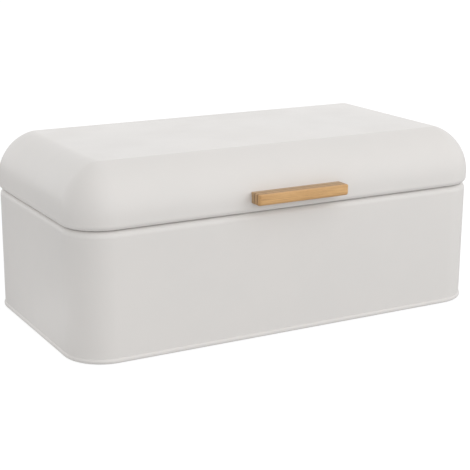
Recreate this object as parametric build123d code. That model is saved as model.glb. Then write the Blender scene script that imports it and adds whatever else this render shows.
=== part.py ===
from build123d import *
import os
from math import asin, cos, degrees, radians, sin, sqrt

os.makedirs("parts", exist_ok=True)

# Bread bin: a pressed-steel tub on a rolled foot rim, a domed steel lid hinged at
# the back, and a laminated bamboo bar handle on the lid's front.
# Millimetres. +Z is up, the front faces -Y, and z = 0 is the worktop.

# ---------------------------------------------------------------- base sizes
base_width = 420.0          # outside of the wall, left to right
base_depth = 222.0          # outside of the wall, front to back
base_height = 117.5         # worktop to the ledge the lid closes over
corner_radius = 36.0        # plan corner, outside of the wall
sheet = 0.6                 # steel thickness of wall, collar, floor and lid
shoulder_radius = 4.0       # rolled top edge of the wall
ledge_width = 2.0           # flat ledge between the shoulder and the collar

# ------------------------------------------------------- floor, rim and feet
foot_drop = 0.5             # how far the feet hold the rim off the worktop
foot_radius = 7.0
rim_height = 5.0
rim_proud = 1.0             # rim outside the wall
rim_sheet = 0.8
floor_recess = 4.2          # underside of the floor above the rim's bottom
floor_bend = 2.0            # bend between the floor and its flange
floor_raise = 1.2           # middle of the floor above its margin
floor_margin = 22.0         # width of the low margin round the floor
floor_slope = 3.0           # width of the step up to the middle

# ------------------------------------------------------------------- collar
collar_rise = 10.0          # collar above the ledge
collar_bead = 1.2           # radius of the rolled bead on its top edge
collar_weld_height = 10.0   # band of the collar welded inside the wall
collar_step = 6.0           # height of the slanted step above that band
collar_drop = 5.5           # top of the step below the ledge
pad_length = 16.0
pad_width = 1.5
pad_height = 0.65

# ---------------------------------------------------------------------- lid
lid_height = 53.3           # lower edge to flat top
lid_proud = 1.0             # lid outside the wall
seam_gap = 1.0              # open line between the ledge and the lid
lip_height = 7.5            # curled lower edge
lip_tuck = 2.8              # how far that edge curls in
lip_flange = 3.4            # flat turned in under the lip
band_height = 1.1           # upright band between the lip and the dome
crease_share = 0.893        # share of the lid's corner radius taken by the dome
crease_softness = 7.0       # radius of the crease round the flat top

# ------------------------------------------------------------------- handle
handle_length = 92.0
handle_height = 10.0
handle_depth = 14.5         # lid's front to the bar's front face
handle_lift = 8.2           # lid's lower edge to the bar's underside
handle_strips = 3           # bamboo strips glued face to face
handle_round = 1.1          # rounded long edges
handle_end_round = 1.6      # rounded upright front corners
screw_spread = 60.0         # between the two screws
screw_radius = 1.9
screw_head_radius = 3.8
screw_head_height = 2.4
screw_grip = 9.0            # length of screw inside the bar
washer_radius = 5.0
washer_height = 1.6

# ------------------------------------------------------------------- hinges
hinge_spread = 250.0        # between the centres of the two hinges
leaf_width = 36.0
leaf_sheet = 1.0
leaf_corner = 3.0
base_leaf_height = 25.0     # below the hinge axis
lid_leaf_start = 6.0        # above the hinge axis
lid_leaf_height = 19.0
knuckle_bore = 1.5
lid_knuckle_length = 13.2
knuckle_gap = 0.4           # between neighbouring knuckles
pin_fit = 0.05              # radial running clearance in the lid's knuckle
notch_gap = 0.6
pin_overhang = 0.8
stop_radius = 4.8           # reach of the stop finger from the axis
stop_sheet = 1.0
stop_gap = 0.3
open_angle = 100.0          # lid's travel, set by the stop finger
rivet_spread = 22.0         # between the two rivets of a leaf
rivet_radius = 1.6
rivet_head_radius = 3.2
rivet_head_height = 1.5
rivet_tail_radius = 2.6
rivet_tail_height = 0.9
base_rivet_drop = 16.0      # hinge axis to the base rivets
lid_rivet_rise = 18.5       # hinge axis to the lid rivets
hole_fit = 0.05             # radial gap round rivets and screws

# ------------------------------------------------------------ derived sizes
half_depth = base_depth / 2
run_x = base_width - 2 * corner_radius
run_y = base_depth - 2 * corner_radius
rim_bottom = foot_drop
wall_bottom = rim_bottom + rim_sheet
floor_low = rim_bottom + floor_recess
rim_inner_top = floor_low + sheet - floor_bend
collar_radius = corner_radius - shoulder_radius - ledge_width
collar_top = base_height + collar_rise

lid_bottom = base_height + seam_gap
lid_top = lid_bottom + lid_height
lid_radius = corner_radius + lid_proud
lid_front = half_depth + lid_proud
lip_top = lid_bottom + lip_height
lip_radius = (lip_height**2 + lip_tuck**2) / (2 * lip_tuck)
band_top = lip_top + band_height
dome_rise = lid_top - band_top
dome_inset = crease_share * lid_radius
dome_radius = (dome_rise**2 + dome_inset**2) / (2 * dome_inset)
dome_middle = lid_front - dome_radius

knuckle_radius = knuckle_bore + leaf_sheet
axis_y = half_depth + knuckle_radius
axis_z = base_height
lid_bore = knuckle_bore + pin_fit
lid_leaf_low = axis_z + lid_leaf_start
lid_leaf_top = lid_leaf_low + lid_leaf_height
stop_tip_turn = degrees(asin((knuckle_bore - stop_gap) / sqrt(stop_radius**2 + stop_sheet**2 / 4)))
stop_lead_turn = degrees(asin(stop_sheet / 2 / sqrt(stop_radius**2 + stop_sheet**2 / 4)))
stop_angle = open_angle - 90 - stop_tip_turn + stop_lead_turn

bar_low = lid_bottom + handle_lift
bar_middle = bar_low + handle_height / 2
strip_depth = handle_depth / handle_strips

# The origin lies under the middle of the whole footprint, handle and hinges included.
front_reach = lid_front + handle_depth
rear_reach = axis_y + stop_radius
shift_y = (front_reach - rear_reach) / 2


# ------------------------------------------------------------------ helpers
def arc(middle, radius, start, end):
    """Arc about a middle, between two angles in degrees."""
    return CenterArc(middle, radius, start, end - start)


def upright(x, y, angle):
    """Upright plane at (x, y): local x points outward at the angle, local y up."""
    turn = radians(angle)
    outward = (cos(turn), sin(turn), 0)
    across = (sin(turn), -cos(turn), 0)
    return Plane(origin=(x, y, 0), x_dir=outward, z_dir=across)


def around_plan(section):
    """Carry an upright section round the plan.

    The section's x runs outward from the middle of a plan corner.
    """
    corners = [(1, 1), (-1, 1), (-1, -1), (1, -1)]
    runs = [run_x, run_y, run_x, run_y]
    pieces = []
    for step, (side_x, side_y) in enumerate(corners):
        x = side_x * run_x / 2
        y = side_y * run_y / 2
        bend_start = upright(x, y, 90 * step)
        bend_end = upright(x, y, 90 * step + 90)
        turn_axis = Axis((x, y, 0), (0, 0, 1))
        pieces.append(revolve(bend_start * section, axis=turn_axis, revolution_arc=90))
        pieces.append(extrude(bend_end * section, amount=-runs[step]))
    return pieces[0] + pieces[1:]


def along_front(section, length):
    """Run a (y outward, z) section along the middle of the front."""
    front = Plane(origin=(0, 0, 0), x_dir=(0, -1, 0), z_dir=(-1, 0, 0))
    return extrude(front * section, amount=length / 2, both=True)


def along_back(section, length):
    """Run a (y outward, z) section along the middle of the back."""
    return extrude(Plane.YZ * section, amount=length / 2, both=True)


def cross_rod(radius, length, y, z):
    """Round rod along X."""
    return Pos(0, y, z) * Rot(0, 90, 0) * Cylinder(radius, length)


def dome_point(radius, height):
    """Distance from the plan's middle to a dome arc of this radius at a height."""
    return dome_middle + sqrt(radius**2 - (height - band_top)**2)


def mirrored_pair(piece, spread):
    """Two copies, left and right of the middle."""
    return [Pos(-spread / 2, 0, 0) * piece, Pos(spread / 2, 0, 0) * piece]


def save(name, solids):
    """Write one node, moved so that the footprint's middle is the origin."""
    placed = [Pos(0, shift_y, 0) * solid for solid in solids]
    shape = placed[0] if len(placed) == 1 else Compound(children=placed)
    export_step(shape, f"parts/{name}.step")


# --------------------------------------------------------------------- base
def base_wall():
    """Wall sheet with its rolled shoulder and ledge."""
    outer = corner_radius
    inner = outer - sheet
    bend_z = base_height - shoulder_radius
    bend_u = outer - shoulder_radius
    outline = [
        Line((inner, wall_bottom), (outer, wall_bottom)),
        Line((outer, wall_bottom), (outer, bend_z)),
        arc((bend_u, bend_z), shoulder_radius, 0, 90),
        Line((bend_u, base_height), (collar_radius, base_height)),
        Line((collar_radius, base_height), (collar_radius, base_height - sheet)),
        Line((collar_radius, base_height - sheet), (bend_u, base_height - sheet)),
        arc((bend_u, bend_z), shoulder_radius - sheet, 0, 90),
        Line((inner, bend_z), (inner, wall_bottom)),
    ]
    wall = around_plan(make_face(outline))
    for hole in mirrored_pair(base_rivet_shanks(rivet_radius + hole_fit), hinge_spread):
        wall -= hole
    return wall


def neck_collar():
    """Stepped band welded inside the wall, its neck standing up inside the lid."""
    outer = corner_radius - sheet
    step_top = base_height - collar_drop
    step_low = step_top - collar_step
    weld_low = step_low - collar_weld_height
    slant = sheet * 0.55
    outline = Polyline(
        (outer, weld_low),
        (outer, step_low),
        (collar_radius, step_top),
        (collar_radius, collar_top - collar_bead),
        (collar_radius - sheet, collar_top - collar_bead),
        (collar_radius - sheet, step_top - slant),
        (outer - sheet, step_low - slant),
        (outer - sheet, weld_low),
        close=True,
    )
    band = make_face(outline)
    bead = Pos(collar_radius - collar_bead, collar_top - collar_bead) * Circle(collar_bead)
    collar = around_plan(band + bead)
    for hole in mirrored_pair(base_rivet_shanks(rivet_radius + hole_fit), hinge_spread):
        collar -= hole
    return collar


def bottom_panel():
    """Pressed floor: flange down into the rim, low margin and raised middle."""
    edge = corner_radius - sheet
    low = floor_low
    high = low + floor_raise
    step_out = corner_radius - floor_margin
    step_in = step_out - floor_slope
    outline = [
        Line((edge - sheet, wall_bottom), (edge, wall_bottom)),
        Line((edge, wall_bottom), (edge, low + sheet - floor_bend)),
        arc((edge - floor_bend, low + sheet - floor_bend), floor_bend, 0, 90),
        Line((edge - floor_bend, low + sheet), (step_out, low + sheet)),
        Line((step_out, low + sheet), (step_in, high + sheet)),
        Line((step_in, high + sheet), (0, high + sheet)),
        Line((0, high + sheet), (0, high)),
        Line((0, high), (step_in, high)),
        Line((step_in, high), (step_out, low)),
        Line((step_out, low), (edge - floor_bend, low)),
        arc((edge - floor_bend, low + sheet - floor_bend), floor_bend - sheet, 0, 90),
        Line((edge - sheet, low + sheet - floor_bend), (edge - sheet, wall_bottom)),
    ]
    margin = around_plan(make_face(outline))
    middle = Pos(0, 0, high + sheet / 2) * Box(run_x, run_y, sheet)
    return margin + middle


def bottom_rim():
    """Rolled channel that grips the lower edges of the wall and the floor."""
    inner_face = corner_radius - 2 * sheet
    inner = inner_face - rim_sheet
    outer = corner_radius + rim_proud
    skin = Polyline(
        (inner, rim_bottom),
        (outer, rim_bottom),
        (outer, rim_bottom + rim_height),
        (corner_radius, rim_bottom + rim_height),
        (corner_radius, wall_bottom),
        (inner_face, wall_bottom),
        (inner_face, rim_inner_top),
        (inner, rim_inner_top),
        close=True,
    )
    section = make_face(skin)
    rounded = section.vertices().filter_by(lambda corner: corner.X > outer - 0.01)
    section = fillet(rounded, rim_proud * 0.85)
    return around_plan(section)


def wall_seam_cleat():
    """Folded strip that locks the two ends of the wall sheet at the back."""
    cleat_width = 7.0
    low = rim_bottom + rim_height
    high = base_height - shoulder_radius
    strip = Box(cleat_width, sheet * 1.5, high - low)
    edges = strip.edges().filter_by(Axis.Z).group_by(Axis.Y)[-1]
    strip = fillet(edges, sheet * 0.9)
    return Pos(0, half_depth + sheet * 0.75, (low + high) / 2) * strip


def feet():
    """Four rubber feet under the corners of the floor."""
    reach = (corner_radius - floor_margin / 2) * sqrt(0.5)
    height = floor_low
    foot = Pos(0, 0, height / 2) * Cylinder(foot_radius, height)
    foot = fillet(foot.edges().group_by(Axis.Z)[0], 0.8)
    solids = []
    for side_x in (-1, 1):
        for side_y in (-1, 1):
            x = side_x * (run_x / 2 + reach)
            y = side_y * (run_y / 2 + reach)
            solids.append(Pos(x, y, 0) * foot)
    return solids


def lid_rest_pads():
    """Four thin silicone strips on the ledge, under the lid's lip."""
    inset = shoulder_radius + ledge_width / 2
    z = base_height + pad_height / 2
    pad = Box(pad_length, pad_width, pad_height)
    solids = []
    for side_x in (-1, 1):
        for side_y in (-1, 1):
            x = side_x * (run_x / 2 - pad_length)
            y = side_y * (half_depth - inset)
            solids.append(Pos(x, y, z) * pad)
    return solids


# ------------------------------------------------------------------- hinges
def base_rivet_shanks(radius):
    """Two rods through one base leaf, the wall and the collar."""
    z = axis_z - base_rivet_drop
    y = half_depth
    rod = Pos(0, y, z) * Rot(90, 0, 0) * Cylinder(radius, 12)
    left, right = mirrored_pair(rod, rivet_spread)
    return left + right


def lid_rivet_frame():
    """Place on the dome's arc at the lid rivets, z axis pointing out of the lid."""
    tilt = degrees(asin((axis_z + lid_rivet_rise - band_top) / dome_radius))
    return Pos(0, dome_middle, band_top) * Rot(tilt, 0, 0) * Rot(-90, 0, 0)


def lid_rivet_shanks(radius):
    """Two rods through one lid leaf and the lid."""
    rod = lid_rivet_frame() * Pos(0, 0, dome_radius) * Cylinder(radius, 12)
    left, right = mirrored_pair(rod, rivet_spread)
    return left + right


def rivet(grip):
    """Domed rivet: seat at z = 0, head upward, shank and tail downward."""
    head = Pos(0, 0, rivet_head_height / 2) * Cylinder(rivet_head_radius, rivet_head_height)
    head = fillet(head.edges().group_by(Axis.Z)[-1], rivet_head_height * 0.9)
    shank = Pos(0, 0, -grip / 2) * Cylinder(rivet_radius, grip)
    tail = Pos(0, 0, -grip - rivet_tail_height / 2) * Cylinder(rivet_tail_radius, rivet_tail_height)
    tail = fillet(tail.edges().group_by(Axis.Z)[0], rivet_tail_height * 0.5)
    return head + shank + tail


def base_hinge_rivets():
    """Rivets of both base leaves, through leaf, wall and collar."""
    grip = leaf_sheet + 2 * sheet
    one = rivet(grip)
    y = half_depth + leaf_sheet
    z = axis_z - base_rivet_drop
    seated = Pos(0, y, z) * Rot(-90, 0, 0) * one
    solids = []
    for piece in mirrored_pair(seated, hinge_spread):
        solids += mirrored_pair(piece, rivet_spread)
    return solids


def lid_hinge_rivets():
    """Rivets of both lid leaves, square to the dome, through leaf and lid."""
    tail_room = rivet_tail_radius**2 / (2 * (dome_radius - sheet))
    grip = leaf_sheet + sheet + tail_room
    seated = lid_rivet_frame() * Pos(0, 0, dome_radius + leaf_sheet) * rivet(grip)
    solids = []
    for piece in mirrored_pair(seated, hinge_spread):
        solids += mirrored_pair(piece, rivet_spread)
    return solids


def base_hinge_leaf():
    """Flat leaf on the back of the wall, rolled into two outer knuckles."""
    low = axis_z - base_leaf_height
    plate = Pos(0, half_depth + leaf_sheet / 2, (low + axis_z) / 2)
    plate *= Box(leaf_width, leaf_sheet, base_leaf_height)
    corners = plate.edges().filter_by(Axis.Y).group_by(Axis.Z)[0]
    plate = fillet(corners, leaf_corner)
    leaf = plate + cross_rod(knuckle_radius, leaf_width, axis_y, axis_z)
    room = lid_knuckle_length + 2 * knuckle_gap
    clear = knuckle_radius + notch_gap
    notch = Pos(0, axis_y, axis_z + 10 - clear) * Box(room, 10, 20)
    leaf -= notch
    leaf -= cross_rod(knuckle_bore, leaf_width + 2, axis_y, axis_z)
    leaf -= base_rivet_shanks(rivet_radius + hole_fit)
    return leaf


def lid_hinge_leaf():
    """Leaf curved to the back of the dome, with one middle knuckle and a stop finger."""
    outer_radius = dome_radius + leaf_sheet
    tilt_in = degrees(asin((lid_leaf_top - band_top) / dome_radius))
    tilt_out = degrees(asin((lid_leaf_top - band_top) / outer_radius))
    inner_top = (dome_point(dome_radius, lid_leaf_top), lid_leaf_top)
    outer_top = (dome_point(outer_radius, lid_leaf_top), lid_leaf_top)
    outline = [
        Line((lid_front, lid_leaf_low), (lid_front + leaf_sheet, lid_leaf_low)),
        Line((lid_front + leaf_sheet, lid_leaf_low), (lid_front + leaf_sheet, band_top)),
        arc((dome_middle, band_top), outer_radius, 0, tilt_out),
        Line(outer_top, inner_top),
        arc((dome_middle, band_top), dome_radius, 0, tilt_in),
        Line((lid_front, band_top), (lid_front, lid_leaf_low)),
    ]
    plate = along_back(make_face(outline), leaf_width)
    corners = plate.edges().filter_by(Axis.Y, tolerance=20).group_by(Axis.Z)
    plate = fillet(corners[-1], leaf_corner)
    tongue_low = axis_z + sqrt(lid_bore**2 - (axis_y - lid_front - leaf_sheet)**2) + 0.05
    tongue_height = lid_leaf_low - tongue_low
    tongue = Box(lid_knuckle_length, leaf_sheet, tongue_height)
    tongue = Pos(0, lid_front + leaf_sheet / 2, tongue_low + tongue_height / 2) * tongue
    knuckle = cross_rod(knuckle_radius, lid_knuckle_length, axis_y, axis_z)
    finger = Pos(0, stop_radius / 2, 0) * Box(lid_knuckle_length, stop_radius, stop_sheet)
    finger = Pos(0, axis_y, axis_z) * Rot(stop_angle, 0, 0) * finger
    leaf = plate + tongue + knuckle + finger
    leaf -= cross_rod(lid_bore, leaf_width + 2, axis_y, axis_z)
    leaf -= lid_rivet_shanks(rivet_radius + hole_fit)
    return leaf


def hinge_pins():
    """Two round pins pressed into the base leaves' knuckles."""
    length = leaf_width + 2 * pin_overhang
    pin = Cylinder(knuckle_bore, length)
    pin = fillet(pin.edges(), knuckle_bore * 0.4)
    seated = Pos(0, axis_y, axis_z) * Rot(0, 90, 0) * pin
    return mirrored_pair(seated, hinge_spread)


# ---------------------------------------------------------------------- lid
def lid_section(skin):
    """Lid outline at a depth of skin below the outer surface, closed at the corner's middle."""
    edge = lid_radius - skin
    arc_radius = dome_radius - skin
    dome_u = lid_radius - dome_radius
    top = lid_top - skin
    crease_turn = degrees(asin((top - band_top) / arc_radius))
    crease_u = dome_u + sqrt(arc_radius**2 - (top - band_top)**2)
    lip_arc = lip_radius - skin
    lip_low = lid_bottom + skin
    lip_turn = degrees(asin((lip_top - lip_low) / lip_arc))
    lip_u = lid_radius - lip_radius + sqrt(lip_arc**2 - (lip_top - lip_low)**2)
    outline = [
        Line((0, lip_low), (lip_u, lip_low)),
        arc((lid_radius - lip_radius, lip_top), lip_arc, -lip_turn, 0),
        Line((edge, lip_top), (edge, band_top)),
        arc((dome_u, band_top), arc_radius, 0, crease_turn),
        Line((crease_u, top), (0, top)),
        Line((0, top), (0, lip_low)),
    ]
    section = make_face(outline)
    crease = section.vertices().filter_by(lambda point: abs(point.X - crease_u) < 0.01)
    crease = crease.filter_by(lambda point: point.Y > band_top)
    return fillet(crease, crease_softness)


def lid_shell():
    """Pressed lid: creased flat top, domed sides, curled lip and turned-in flange."""
    flange_u = lid_radius - lip_tuck - lip_flange
    mouth = Polyline(
        (0, lid_bottom),
        (flange_u, lid_bottom),
        (flange_u, lid_bottom + sheet),
        (0, lid_bottom + sheet),
        close=True,
    )
    section = lid_section(0) - lid_section(sheet) - make_face(mouth)
    sides = around_plan(section)
    middle = Pos(0, 0, lid_top - sheet / 2) * Box(run_x, run_y, sheet)
    shell = sides + middle
    for hole in mirrored_pair(lid_rivet_shanks(rivet_radius + hole_fit), hinge_spread):
        shell -= hole
    for hole in screw_rods(screw_radius + hole_fit):
        shell -= hole
    return shell


def lid_front_profile(skin):
    """Lid section seen along X, its y measured outward from the plan's middle."""
    return Pos(run_y / 2, 0) * lid_section(skin)


# ------------------------------------------------------------------- handle
def screw_rods(radius):
    """Rods along Y where the handle's screws pass."""
    rod = Pos(0, -lid_front, bar_middle) * Rot(90, 0, 0) * Cylinder(radius, 40)
    return mirrored_pair(rod, screw_spread)


def handle_bar():
    """Whole bamboo bar with eased edges, its back milled to the lid's curve."""
    overlap = 2.0
    depth = handle_depth + overlap
    bar = Box(handle_length, depth, handle_height)
    upright_edges = bar.edges().filter_by(Axis.Z).group_by(Axis.Y)[0]
    bar = fillet(upright_edges, handle_end_round)
    long_edges = bar.edges().filter_by(Axis.Z, reverse=True)
    long_edges = long_edges.filter_by(lambda edge: edge.center().Y < depth / 2 - 0.01)
    bar = fillet(long_edges, handle_round)
    bar = Pos(0, -lid_front - handle_depth + depth / 2, bar_middle) * bar
    return bar - along_front(lid_front_profile(0), handle_length + 20)


def handle_strip(index):
    """One bamboo strip of the bar, counted from the front."""
    front = -lid_front - handle_depth + index * strip_depth
    last = index == handle_strips - 1
    depth = strip_depth + (4.0 if last else 0.0)
    slab = Box(handle_length + 4, depth, handle_height + 4)
    strip = handle_bar() & (Pos(0, front + depth / 2, bar_middle) * slab)
    for hole in handle_screw_bores():
        strip -= hole
    return strip


def handle_screw_bores():
    """Bores in the bar for the two screws."""
    length = screw_grip + 6.0
    y = -lid_front - screw_grip - 0.3 + length / 2
    rod = Pos(0, y, bar_middle) * Rot(90, 0, 0) * Cylinder(screw_radius + hole_fit, length)
    return mirrored_pair(rod, screw_spread)


def handle_screws():
    """Two pan-head screws driven from inside the lid."""
    seat = -lid_front + sheet + washer_height
    tip = -lid_front - screw_grip
    length = seat - tip
    shank = Pos(0, (seat + tip) / 2, bar_middle) * Rot(90, 0, 0) * Cylinder(screw_radius, length)
    point = shank.edges().group_by(Axis.Y)[0]
    shank = chamfer(point, screw_radius * 0.5)
    head = Cylinder(screw_head_radius, screw_head_height)
    head = fillet(head.edges().group_by(Axis.Z)[0], screw_head_height * 0.6)
    slot_depth = screw_head_height * 0.5
    slot = Pos(0, 0, -screw_head_height / 2 + slot_depth / 2)
    head -= slot * Box(screw_head_radius * 1.1, 0.9, slot_depth)
    head -= slot * Box(0.9, screw_head_radius * 1.1, slot_depth)
    head = Pos(0, seat + screw_head_height / 2, bar_middle) * Rot(90, 0, 0) * head
    return mirrored_pair(shank + head, screw_spread)


def handle_washers():
    """Two fibre washers between the screw heads and the lid, shaped to its curve."""
    low = -lid_front
    high = -lid_front + sheet + washer_height
    ring = Cylinder(washer_radius, high - low) - Cylinder(screw_radius + hole_fit, high - low)
    ring = Pos(0, (low + high) / 2, bar_middle) * Rot(90, 0, 0) * ring
    ring = ring & along_front(lid_front_profile(sheet), 3 * washer_radius)
    return mirrored_pair(ring, screw_spread)


# -------------------------------------------------------------------- write
save("base_wall", [base_wall()])
save("neck_collar", [neck_collar()])
save("bottom_panel", [bottom_panel()])
save("bottom_rim", [bottom_rim()])
save("wall_seam_cleat", [wall_seam_cleat()])
save("feet", feet())
save("lid_rest_pads", lid_rest_pads())

base_leaf_left, base_leaf_right = mirrored_pair(base_hinge_leaf(), hinge_spread)
save("base_hinge_leaf_left", [base_leaf_left])
save("base_hinge_leaf_right", [base_leaf_right])
save("base_hinge_rivets", base_hinge_rivets())
save("hinge_pins", hinge_pins())

save("lid_shell", [lid_shell()])
lid_leaf_left, lid_leaf_right = mirrored_pair(lid_hinge_leaf(), hinge_spread)
save("lid_hinge_leaf_left", [lid_leaf_left])
save("lid_hinge_leaf_right", [lid_leaf_right])
save("lid_hinge_rivets", lid_hinge_rivets())

save("handle_front_strip", [handle_strip(0)])
save("handle_core_strip", [handle_strip(1)])
save("handle_back_strip", [handle_strip(2)])
save("handle_screws", handle_screws())
save("handle_washers", handle_washers())
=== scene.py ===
"""Bread bin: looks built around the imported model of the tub, the domed lid and its bamboo bar.

Every length is in metres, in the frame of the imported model: +Z is up, the front faces -Y.
"""

import logging
import math
from dataclasses import dataclass, field, replace
from enum import Enum
from typing import Callable, Iterable, NamedTuple, Sequence

import bmesh
import bpy
from mathutils import Matrix, Vector, noise

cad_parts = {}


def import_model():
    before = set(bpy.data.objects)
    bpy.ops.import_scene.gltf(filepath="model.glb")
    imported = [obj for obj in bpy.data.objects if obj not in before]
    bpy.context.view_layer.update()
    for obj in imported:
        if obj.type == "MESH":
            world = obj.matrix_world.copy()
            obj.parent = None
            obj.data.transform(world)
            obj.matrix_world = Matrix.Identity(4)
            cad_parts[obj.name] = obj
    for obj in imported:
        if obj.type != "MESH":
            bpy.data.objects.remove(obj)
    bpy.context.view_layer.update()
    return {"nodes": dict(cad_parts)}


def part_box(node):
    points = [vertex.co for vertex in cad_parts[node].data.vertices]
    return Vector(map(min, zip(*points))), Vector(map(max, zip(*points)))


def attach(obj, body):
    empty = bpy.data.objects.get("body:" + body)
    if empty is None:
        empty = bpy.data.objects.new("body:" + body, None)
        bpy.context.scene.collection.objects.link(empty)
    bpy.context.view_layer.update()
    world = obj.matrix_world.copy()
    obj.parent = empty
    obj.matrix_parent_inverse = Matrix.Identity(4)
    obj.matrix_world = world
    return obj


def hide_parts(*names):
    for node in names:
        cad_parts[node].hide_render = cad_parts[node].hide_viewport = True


LOG = logging.getLogger("bread_bin")
MM = 0.001
WELD_WITHIN = 0.001 * MM
EASE_SEGMENTS = 2
EASE_ABOVE = 38.0

Colour = tuple[float, float, float]
Axes = tuple[float, float, float]
Point = tuple[float, float]
Nodes = dict[str, bpy.types.Object]


class Body(Enum):
    """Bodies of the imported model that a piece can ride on."""

    BASE = "base"
    LID = "lid"


class Slot(Enum):
    """Material slots of the record; nothing in this script gives a piece one of them."""

    ENAMEL = "enamel"
    BAMBOO = "bamboo"
    RUBBER = "foot_rubber"


# --------------------------------------------------------------------------
# Shader node helpers
# --------------------------------------------------------------------------


class MixKind(Enum):
    """What a Mix node blends: its data type, its two inputs' numbers and its output's."""

    NUMBER = ("FLOAT", 2, 3, 0)
    COLOUR = ("RGBA", 6, 7, 2)


class NodeBench:
    """Adds nodes and links to one node tree."""

    def __init__(self, tree: bpy.types.NodeTree) -> None:
        """Keep the tree.

        Args:
            tree: tree of a material, a world or a node group.
        """
        self.tree = tree

    def add(self, kind: str, **settings: object) -> bpy.types.Node:
        """Add a node.

        Args:
            kind: Blender's type name of the node.
            settings: properties of the node to set.

        Returns:
            The new node.
        """
        node = self.tree.nodes.new(kind)
        for name, value in settings.items():
            setattr(node, name, value)
        return node

    def feed(self, node: bpy.types.Node, socket: str | int, source: object) -> None:
        """Link an output into a socket, or set the socket's own value.

        Args:
            node: node that receives.
            socket: name or number of its input.
            source: an output socket, a number, or a colour or vector.
        """
        target = node.inputs[socket]
        if isinstance(source, bpy.types.NodeSocket):
            self.tree.links.new(source, target)
        elif isinstance(source, tuple) and len(source) == 3 and target.type == "RGBA":
            target.default_value = (*source, 1.0)
        else:
            target.default_value = source

    def maths(self, operation: str, first: object, second: object = 0.0) -> bpy.types.NodeSocket:
        """Combine two values.

        Args:
            operation: name of the operation.
            first: output socket or number.
            second: output socket or number.

        Returns:
            The result's socket.
        """
        node = self.add("ShaderNodeMath", operation=operation)
        self.feed(node, 0, first)
        self.feed(node, 1, second)
        return node.outputs[0]

    def ramp(self, value: object, low: float, high: float, start: object = 0.0,
             end: object = 1.0) -> bpy.types.NodeSocket:
        """Map a value smoothly from one range to another.

        Args:
            value: socket to map.
            low: input that gives start.
            high: input that gives end.
            start: output at low.
            end: output at high.

        Returns:
            The mapped value's socket.
        """
        node = self.add("ShaderNodeMapRange", interpolation_type="SMOOTHSTEP")
        for name, source in (("Value", value), ("From Min", low), ("From Max", high),
                             ("To Min", start), ("To Max", end)):
            self.feed(node, name, source)
        return node.outputs["Result"]

    def mix(self, amount: object, first: object, second: object,
            kind: MixKind = MixKind.COLOUR) -> bpy.types.NodeSocket:
        """Mix two colours or two numbers.

        Args:
            amount: share of the second one.
            first: first colour, number or socket.
            second: second colour, number or socket.
            kind: what is mixed.

        Returns:
            The result's socket.
        """
        data_type, first_input, second_input, output = kind.value
        node = self.add("ShaderNodeMix", data_type=data_type)
        self.feed(node, 0, amount)
        self.feed(node, first_input, first)
        self.feed(node, second_input, second)
        return node.outputs[output]

    def noise(self, place: object, scale: object, detail: float = 2.0,
              roughness: float = 0.5) -> bpy.types.NodeSocket:
        """Add a noise texture.

        Args:
            place: coordinates.
            scale: waves per metre.
            detail: number of finer layers.
            roughness: weight of the finer layers.

        Returns:
            The noise value's socket.
        """
        node = self.add("ShaderNodeTexNoise")
        self.feed(node, "Vector", place)
        self.feed(node, "Scale", scale)
        self.feed(node, "Detail", detail)
        self.feed(node, "Roughness", roughness)
        return node.outputs["Fac"]

    def stretched(self, place: object, scale: object) -> bpy.types.NodeSocket:
        """Scale coordinates by axis.

        Args:
            place: coordinates.
            scale: three factors, or a socket that holds them.

        Returns:
            The scaled coordinates' socket.
        """
        node = self.add("ShaderNodeVectorMath", operation="MULTIPLY")
        self.feed(node, 0, place)
        self.feed(node, 1, scale)
        return node.outputs[0]

    def split(self, place: object) -> bpy.types.Node:
        """Take coordinates apart.

        Args:
            place: coordinates.

        Returns:
            The node, with an output for each axis.
        """
        node = self.add("ShaderNodeSeparateXYZ")
        self.feed(node, 0, place)
        return node

    def apart(self, first: object, second: object) -> bpy.types.NodeSocket:
        """Distance between two values, always positive.

        Args:
            first: output socket or number.
            second: output socket or number.

        Returns:
            The distance's socket.
        """
        return self.maths("ABSOLUTE", self.maths("SUBTRACT", first, second))

    def place(self) -> bpy.types.NodeSocket:
        """Coordinates of the piece itself, in metres."""
        return self.add("ShaderNodeTexCoord").outputs["Object"]


class SocketPlan(NamedTuple):
    """One socket of an effect group."""

    name: str
    kind: str = "NodeSocketFloat"
    value: object = None


class Effect:
    """A node group that several finishes share, built the first time it is asked for."""

    title: str = ""
    inputs: Sequence[SocketPlan] = ()
    outputs: Sequence[SocketPlan] = ()

    def group(self) -> bpy.types.NodeTree:
        """Return the effect's node group, building it once.

        Returns:
            The node group.
        """
        made = bpy.data.node_groups.get(self.title)
        if made is not None:
            return made
        made = bpy.data.node_groups.new(self.title, "ShaderNodeTree")
        for plan in self.inputs:
            socket = made.interface.new_socket(plan.name, in_out="INPUT", socket_type=plan.kind)
            if plan.value is not None:
                socket.default_value = plan.value
        for plan in self.outputs:
            made.interface.new_socket(plan.name, in_out="OUTPUT", socket_type=plan.kind)
        bench = NodeBench(made)
        self.draw(bench, bench.add("NodeGroupInput"), bench.add("NodeGroupOutput"))
        return made

    def draw(self, bench: NodeBench, given: bpy.types.Node, result: bpy.types.Node) -> None:
        """Fill the group.

        Args:
            bench: helper on the group's tree.
            given: the group's input node.
            result: the group's output node.
        """
        raise NotImplementedError

    def use(self, bench: NodeBench, **values: object) -> bpy.types.Node:
        """Place the group in a material.

        Args:
            bench: helper on the material's tree.
            values: input values, with spaces in socket names written as underscores.

        Returns:
            The group node.
        """
        node = bench.add("ShaderNodeGroup", node_tree=self.group())
        for name, value in values.items():
            bench.feed(node, name.replace("_", " "), value)
        return node


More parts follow.
